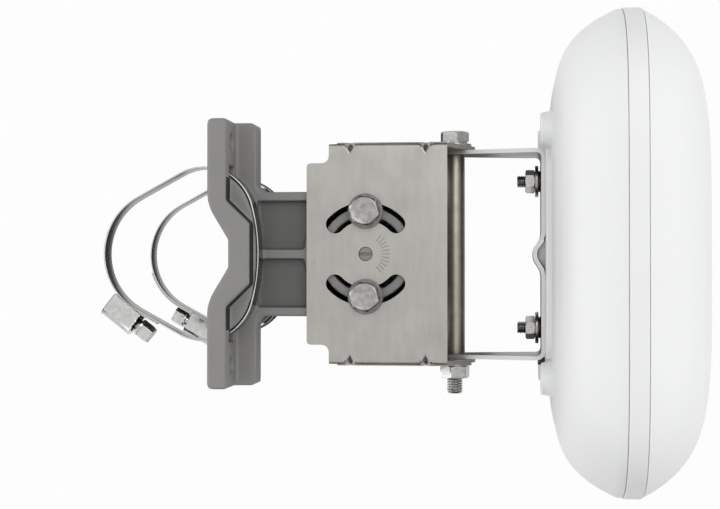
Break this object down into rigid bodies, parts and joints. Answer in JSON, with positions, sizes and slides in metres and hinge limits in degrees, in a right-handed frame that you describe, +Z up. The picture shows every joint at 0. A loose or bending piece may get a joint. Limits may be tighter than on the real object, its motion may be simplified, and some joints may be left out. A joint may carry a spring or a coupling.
{
  "type": "outdoor wireless bridge",
  "caption": "Flat square white outdoor radio on a tilt and swivel steel bracket, with a cast saddle and worm-drive bands that clamp it to a pole.",
  "frame": {"origin": "on the pole's axis, at the middle of the saddle's height", "axes": "+Z up along the pole, +X along the radio's aim at rest, +Y to the radio's left"},
  "size_m": [0.2879, 0.226, 0.2473],
  "materials": {
    "cast_grey": "grey coated die casting, satin",
    "stainless": "brushed stainless sheet and turned fasteners",
    "screw_steel": "darker plated steel",
    "sleeve_steel": "warm grey tube",
    "white_metal": "white powder coat, satin",
    "white_plastic": "white moulded plastic, satin",
    "seal_rubber": "black rubber",
    "pad_rubber": "blue grey gap pad",
    "bare_aluminium": "bare sheet",
    "board_green": "solder mask over glass laminate",
    "copper": "bare copper",
    "black_plastic": "black moulded plastic",
    "dark_plastic": "dark grey moulded plastic",
    "grey_plastic": "light grey moulded plastic",
    "ground_brass": "plated brass"
  },
  "bodies": {
    "pole_bracket": {"pole_saddle": "cast_grey", "clamp_band_upper": "stainless", "clamp_band_lower": "stainless", "clamp_housing_upper": "stainless", "clamp_housing_lower": "stainless", "swivel_bolts": "stainless", "swivel_spring_washers": "stainless", "swivel_flat_washers": "stainless", "pivot_pin": "cast_grey"},
    "clamp_screw_upper": {"clamp_screw_upper": "screw_steel"},
    "clamp_screw_lower": {"clamp_screw_lower": "screw_steel"},
    "swivel": {"swivel_bracket": "stainless", "tilt_bolt": "stainless", "tilt_flat_washers": "stainless", "tilt_spring_washer": "stainless", "tilt_nut": "stainless"},
    "radio": {"tilt_bracket": "stainless", "bracket_studs": "stainless", "bracket_nuts": "stainless", "bracket_flat_washers": "stainless", "cover_screws": "stainless", "board_screws": "stainless", "antenna_posts": "stainless", "ground_washer": "stainless", "bracket_spring_washers": "screw_steel", "tilt_sleeve": "sleeve_steel", "rear_cover": "white_metal", "rear_housing": "white_plastic", "seam_band": "white_plastic", "front_radome": "white_plastic", "cover_seal": "seal_rubber", "housing_seal": "seal_rubber", "chassis_plate": "bare_aluminium", "shield_cans": "bare_aluminium", "ethernet_jack": "bare_aluminium", "thermal_pads": "pad_rubber", "main_board": "board_green", "antenna_panel": "board_green", "antenna_patches": "copper", "mmwave_module": "black_plastic", "cable_gland": "black_plastic", "gland_nut": "black_plastic", "gland_gasket": "seal_rubber", "gland_seal": "seal_rubber", "vent_plug": "dark_plastic", "ground_screw": "ground_brass", "console_plug": "grey_plastic"}
  },
  "joints": [
    {"name": "upper_worm_turn", "type": "hinge", "parent": "pole_bracket", "child": "clamp_screw_upper", "pos_m": [-0.02238, -0.02864, 0.045], "axis": [0.788, -0.6157, 0], "continuous": true},
    {"name": "lower_worm_turn", "type": "hinge", "parent": "pole_bracket", "child": "clamp_screw_lower", "pos_m": [-0.00344, -0.03957, -0.045], "axis": [-0.8769, 0.4807, 0], "continuous": true},
    {"name": "azimuth_swivel", "type": "hinge", "parent": "pole_bracket", "child": "swivel", "pos_m": [0.0935, 0, 0.036], "axis": [0, 0, 1], "range_deg": [-40, 40]},
    {"name": "tilt", "type": "hinge", "parent": "swivel", "child": "radio", "pos_m": [0.1345, 0, 0], "axis": [0, 1, 0], "range_deg": [-45, 45]}
  ]
}
